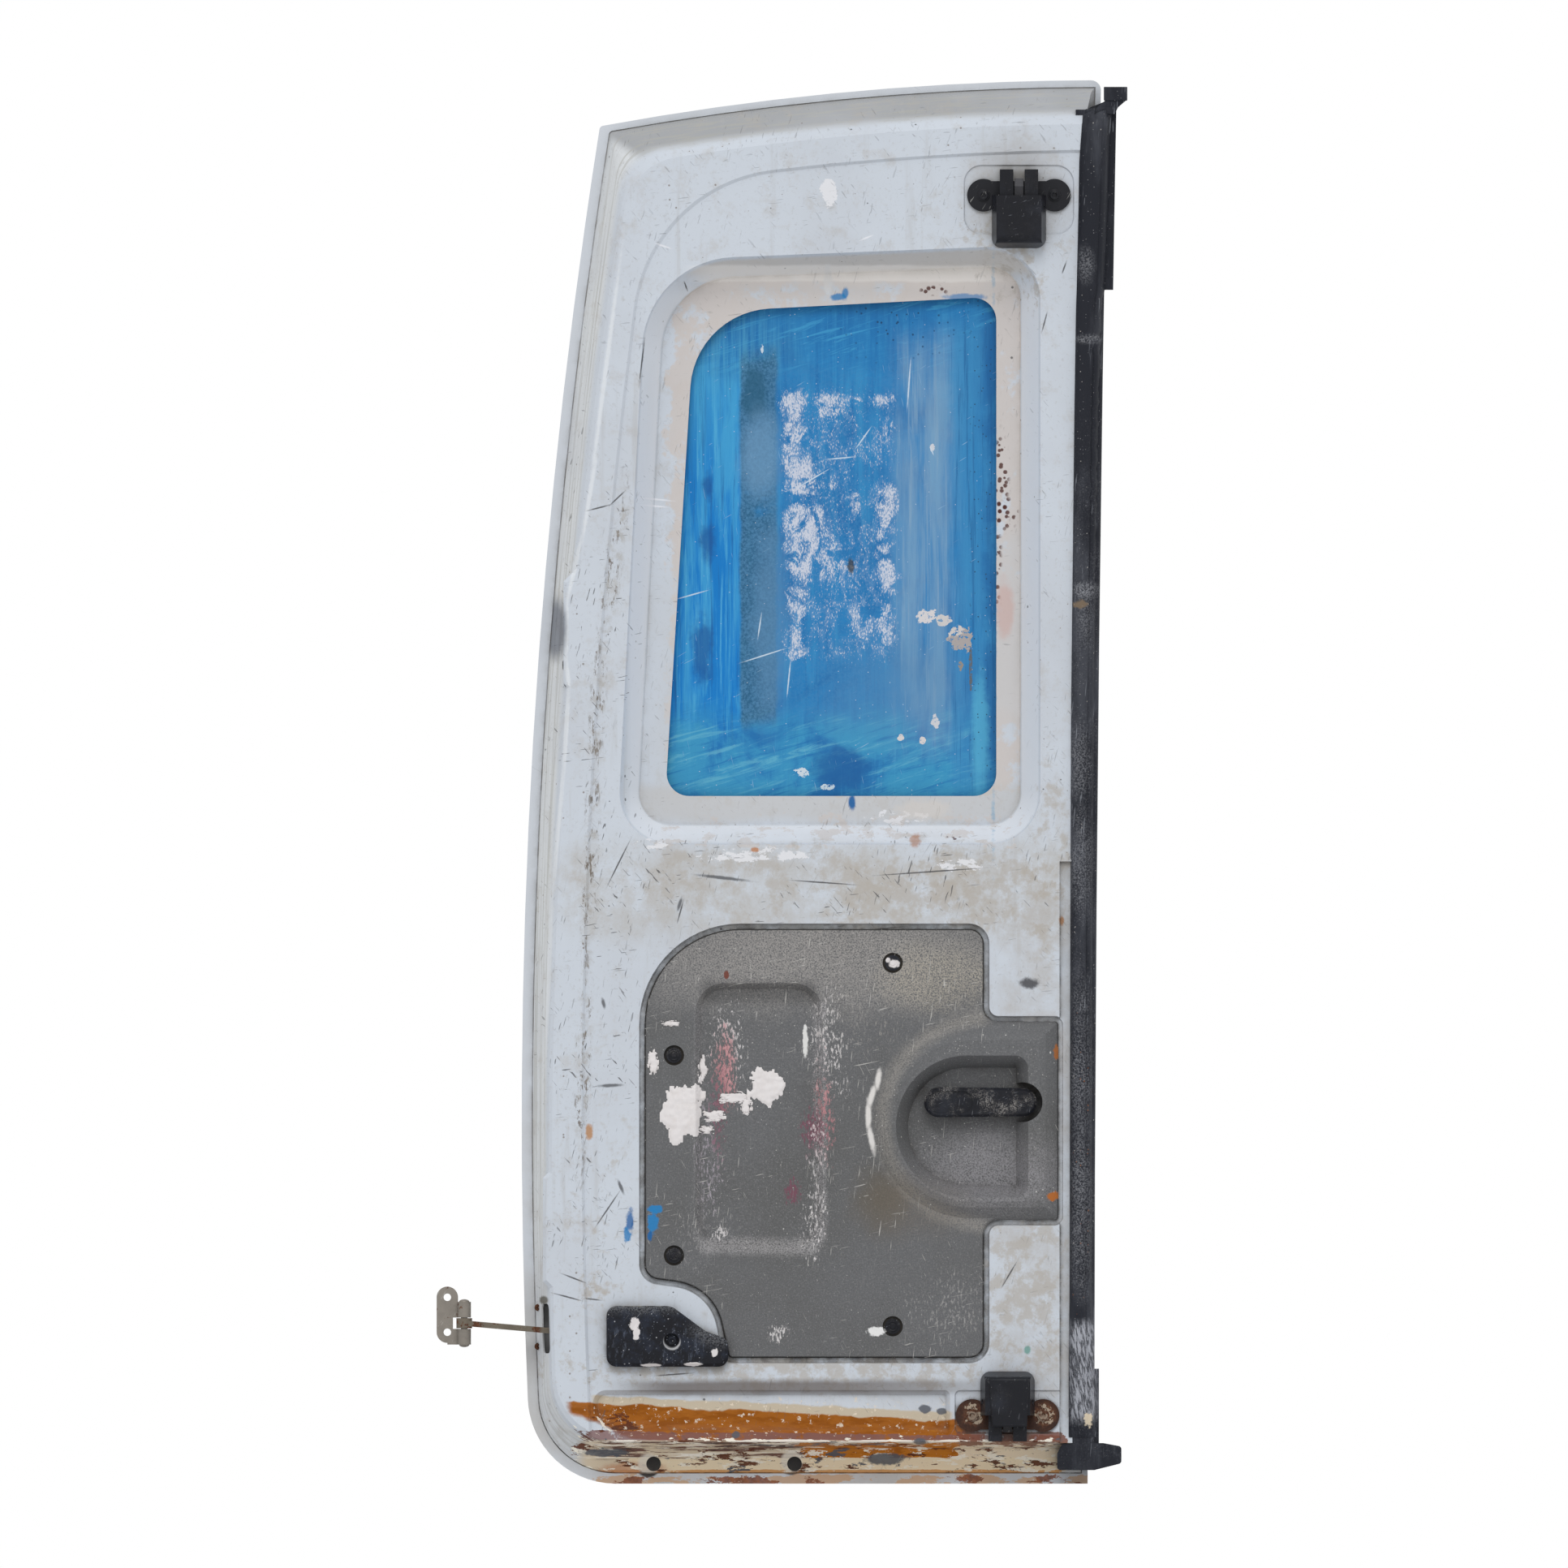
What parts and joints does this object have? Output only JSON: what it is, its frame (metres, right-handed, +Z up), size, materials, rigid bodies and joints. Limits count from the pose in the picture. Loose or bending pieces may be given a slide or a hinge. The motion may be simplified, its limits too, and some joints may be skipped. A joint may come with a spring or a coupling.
{
  "type": "campervan rear barn door leaf",
  "caption": "Sheet-steel rear barn door leaf of a camper van, seen from inside: painted window, grey trim with release handle, black latches, edge seal and door check.",
  "frame": {"origin": "on the lower hinge pad's mounting face, midway between its two bolt holes", "axes": "+Z up, +X from the hinge edge to the meeting edge, -Y towards the inside of the van"},
  "size_m": [0.6134, 0.0765, 1.245],
  "materials": {
    "panel_paint": "worn white paint",
    "skin_paint": "white paint",
    "window_glass": "painted over blue by hand",
    "bead_rubber": "black bonding bead",
    "trim_plastic": "grained grey",
    "clip_plastic": "dark grey",
    "handle_plastic": "black",
    "latch_paint": "black",
    "latch_rust": "rusted black",
    "cover_plastic": "black",
    "claw_steel": "greased steel",
    "seal_rubber": "dusty black",
    "check_steel": "dull, spotted with rust",
    "zinc_steel": "zinc plated"
  },
  "bodies": {
    "door": {"inner_panel": "panel_paint", "outer_skin": "skin_paint", "window_glass": "window_glass", "window_bead": "bead_rubber", "trim_panel": "trim_plastic", "trim_clips": "clip_plastic", "handle_carrier": "zinc_steel", "upper_latch_plate": "latch_paint", "upper_latch_cover": "cover_plastic", "upper_latch_pin": "zinc_steel", "lower_latch_plate": "latch_rust", "lower_latch_cover": "cover_plastic", "lower_latch_pin": "zinc_steel", "meeting_seal": "seal_rubber", "seal_top_end": "seal_rubber", "seal_bottom_end": "seal_rubber", "check_cover": "cover_plastic", "check_arm_guide": "zinc_steel", "upper_hinge_nut_plate": "zinc_steel", "lower_hinge_nut_plate": "zinc_steel"},
    "handle": {"inside_handle": "handle_plastic"},
    "upper_claw": {"upper_latch_claw": "claw_steel"},
    "lower_claw": {"lower_latch_claw": "claw_steel"},
    "arm": {"check_arm": "check_steel"},
    "bracket": {"check_bracket": "check_steel", "check_pin": "check_steel"}
  },
  "joints": [
    {"name": "handle_turn", "type": "hinge", "parent": "door", "child": "handle", "pos_m": [0.42558, 0, 0.113], "axis": [0, -1, 0], "range_deg": [0, 30], "stiffness_Nm_per_rad": 0.35, "springref_deg": -34.38},
    {"name": "upper_claw_swing", "type": "hinge", "parent": "door", "child": "upper_claw", "pos_m": [0.42229, -0.019, 0.9056], "axis": [1, 0, 0], "range_deg": [0, 25]},
    {"name": "lower_claw_swing", "type": "hinge", "parent": "door", "child": "lower_claw", "pos_m": [0.4122, -0.019, -0.1529], "axis": [-1, 0, 0], "range_deg": [0, 25]},
    {"name": "check_arm_slide", "type": "slide", "parent": "door", "child": "arm", "axis": [-0.9962, 0, 0.0872], "range_m": [-0.045, 0.055]},
    {"name": "check_bracket_swing", "type": "hinge", "parent": "arm", "child": "bracket", "pos_m": [-0.06982, 0.006, -0.08308], "axis": [0, 0, 1], "range_deg": [-75, 75]}
  ],
  "couplings": [
    {"joint": "upper_claw_swing", "follows": "handle_turn", "ratio": 0.83333},
    {"joint": "lower_claw_swing", "follows": "handle_turn", "ratio": 0.83333}
  ]
}
